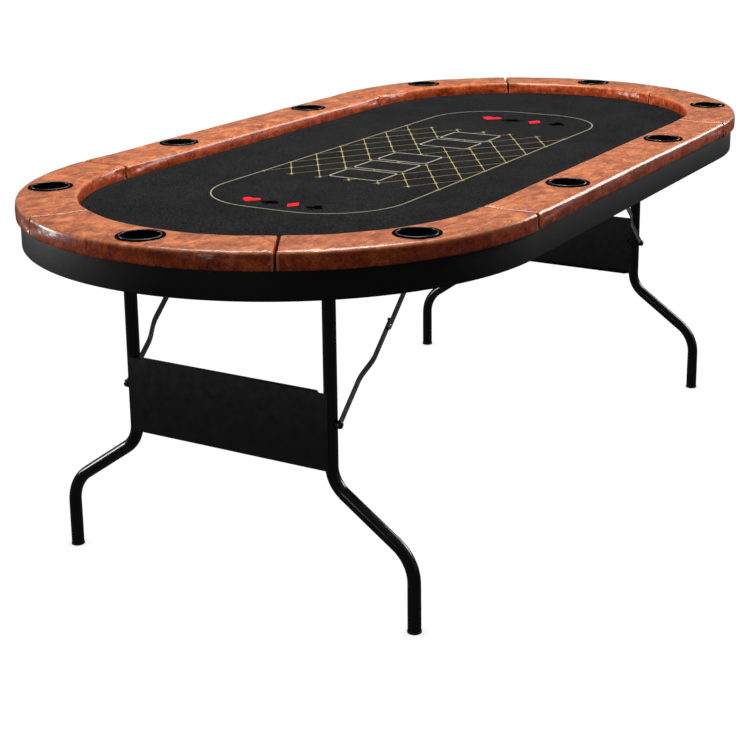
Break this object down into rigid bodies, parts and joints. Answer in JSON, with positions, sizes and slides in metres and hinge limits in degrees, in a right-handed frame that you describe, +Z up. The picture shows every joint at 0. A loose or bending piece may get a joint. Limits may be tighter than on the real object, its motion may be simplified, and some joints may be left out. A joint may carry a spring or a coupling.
{
  "type": "poker table",
  "caption": "Oval folding poker table: padded leather rail with cup holders, black felt racetrack surface, and two folding steel leg frames with locking braces.",
  "frame": {"origin": "on the floor, under the centre of the oval top", "axes": "+Z up; +X along the table, towards the right-hand end; +Y across it, towards the back side"},
  "size_m": [2.134, 1.067, 0.762],
  "materials": {
    "rail_leather": "semi-gloss mottled cognac",
    "felt": "dense black speed cloth",
    "foam": "matt closed-cell foam",
    "plywood": "bare plywood",
    "apron_black": "satin black laminate",
    "cup_plastic": "gloss black",
    "foot_plastic": "matt black",
    "panel_black": "satin black powder coat",
    "black_steel": "gloss black powder coat",
    "bare_steel": "zinc plated"
  },
  "bodies": {
    "table_top": {"table_board": "plywood", "playing_foam": "foam", "felt_cloth": "felt", "rail_base_boards": "plywood", "rail_pad_front": "rail_leather", "rail_pad_back": "rail_leather", "rail_pad_left_front": "rail_leather", "rail_pad_left_end": "rail_leather", "rail_pad_left_back": "rail_leather", "rail_pad_right_front": "rail_leather", "rail_pad_right_end": "rail_leather", "rail_pad_right_back": "rail_leather", "apron_front": "apron_black", "apron_back": "apron_black", "apron_left_end": "apron_black", "apron_right_end": "apron_black", "batten_left": "plywood", "batten_centre": "plywood", "batten_right": "plywood", "cup_holder_front_left": "cup_plastic", "cup_holder_front_right": "cup_plastic", "cup_holder_back_left": "cup_plastic", "cup_holder_back_right": "cup_plastic", "cup_holder_left_front": "cup_plastic", "cup_holder_left_end": "cup_plastic", "cup_holder_left_back": "cup_plastic", "cup_holder_right_front": "cup_plastic", "cup_holder_right_end": "cup_plastic", "cup_holder_right_back": "cup_plastic", "hinge_straps_left": "black_steel", "hinge_straps_right": "black_steel", "brace_brackets_left": "black_steel", "brace_brackets_right": "black_steel", "brace_pins_left": "bare_steel", "brace_pins_right": "bare_steel", "underside_screws": "bare_steel"},
    "leg_frame_left": {"crossbar_left": "black_steel", "leg_left_front": "black_steel", "leg_left_back": "black_steel", "modesty_panel_left": "panel_black", "foot_cap_left_front": "foot_plastic", "foot_cap_left_back": "foot_plastic", "brace_bolts_left": "black_steel"},
    "leg_frame_right": {"crossbar_right": "black_steel", "leg_right_front": "black_steel", "leg_right_back": "black_steel", "modesty_panel_right": "panel_black", "foot_cap_right_front": "foot_plastic", "foot_cap_right_back": "foot_plastic", "brace_bolts_right": "black_steel"},
    "upper_link_left_front": {"upper_link_left_front": "black_steel"},
    "lower_link_left_front": {"lower_link_left_front": "black_steel"},
    "upper_link_left_back": {"upper_link_left_back": "black_steel"},
    "lower_link_left_back": {"lower_link_left_back": "black_steel"},
    "upper_link_right_front": {"upper_link_right_front": "black_steel"},
    "lower_link_right_front": {"lower_link_right_front": "black_steel"},
    "upper_link_right_back": {"upper_link_right_back": "black_steel"},
    "lower_link_right_back": {"lower_link_right_back": "black_steel"}
  },
  "joints": [
    {"name": "leg_frame_left_fold", "type": "hinge", "parent": "table_top", "child": "leg_frame_left", "pos_m": [-0.768, 0, 0.692], "axis": [0, -1, 0], "range_deg": [0, 90]},
    {"name": "brace_left_front_upper_pivot", "type": "hinge", "parent": "table_top", "child": "upper_link_left_front", "pos_m": [-0.42533, -0.2609, 0.692], "axis": [0, 1, 0], "range_deg": [0, 42.5]},
    {"name": "brace_left_front_lower_pivot", "type": "hinge", "parent": "leg_frame_left", "child": "lower_link_left_front", "pos_m": [-0.768, -0.2455, 0.378], "axis": [0, -1, 0], "range_deg": [0, 47.5]},
    {"name": "brace_left_back_upper_pivot", "type": "hinge", "parent": "table_top", "child": "upper_link_left_back", "pos_m": [-0.42533, 0.2609, 0.692], "axis": [0, 1, 0], "range_deg": [0, 42.5]},
    {"name": "brace_left_back_lower_pivot", "type": "hinge", "parent": "leg_frame_left", "child": "lower_link_left_back", "pos_m": [-0.768, 0.2455, 0.378], "axis": [0, -1, 0], "range_deg": [0, 47.5]},
    {"name": "leg_frame_right_fold", "type": "hinge", "parent": "table_top", "child": "leg_frame_right", "pos_m": [0.768, 0, 0.692], "axis": [0, 1, 0], "range_deg": [0, 90]},
    {"name": "brace_right_front_upper_pivot", "type": "hinge", "parent": "table_top", "child": "upper_link_right_front", "pos_m": [0.42533, -0.2609, 0.692], "axis": [0, -1, 0], "range_deg": [0, 42.5]},
    {"name": "brace_right_front_lower_pivot", "type": "hinge", "parent": "leg_frame_right", "child": "lower_link_right_front", "pos_m": [0.768, -0.2455, 0.378], "axis": [0, 1, 0], "range_deg": [0, 47.5]},
    {"name": "brace_right_back_upper_pivot", "type": "hinge", "parent": "table_top", "child": "upper_link_right_back", "pos_m": [0.42533, 0.2609, 0.692], "axis": [0, -1, 0], "range_deg": [0, 42.5]},
    {"name": "brace_right_back_lower_pivot", "type": "hinge", "parent": "leg_frame_right", "child": "lower_link_right_back", "pos_m": [0.768, 0.2455, 0.378], "axis": [0, 1, 0], "range_deg": [0, 47.5]}
  ],
  "couplings": [
    {"joint": "brace_left_front_upper_pivot", "follows": "leg_frame_left_fold", "ratio": 0.47222},
    {"joint": "brace_left_front_lower_pivot", "follows": "leg_frame_left_fold", "ratio": 0.52777},
    {"joint": "brace_left_back_upper_pivot", "follows": "leg_frame_left_fold", "ratio": 0.47222},
    {"joint": "brace_left_back_lower_pivot", "follows": "leg_frame_left_fold", "ratio": 0.52777},
    {"joint": "brace_right_front_upper_pivot", "follows": "leg_frame_right_fold", "ratio": 0.47222},
    {"joint": "brace_right_front_lower_pivot", "follows": "leg_frame_right_fold", "ratio": 0.52777},
    {"joint": "brace_right_back_upper_pivot", "follows": "leg_frame_right_fold", "ratio": 0.47222},
    {"joint": "brace_right_back_lower_pivot", "follows": "leg_frame_right_fold", "ratio": 0.52777}
  ]
}
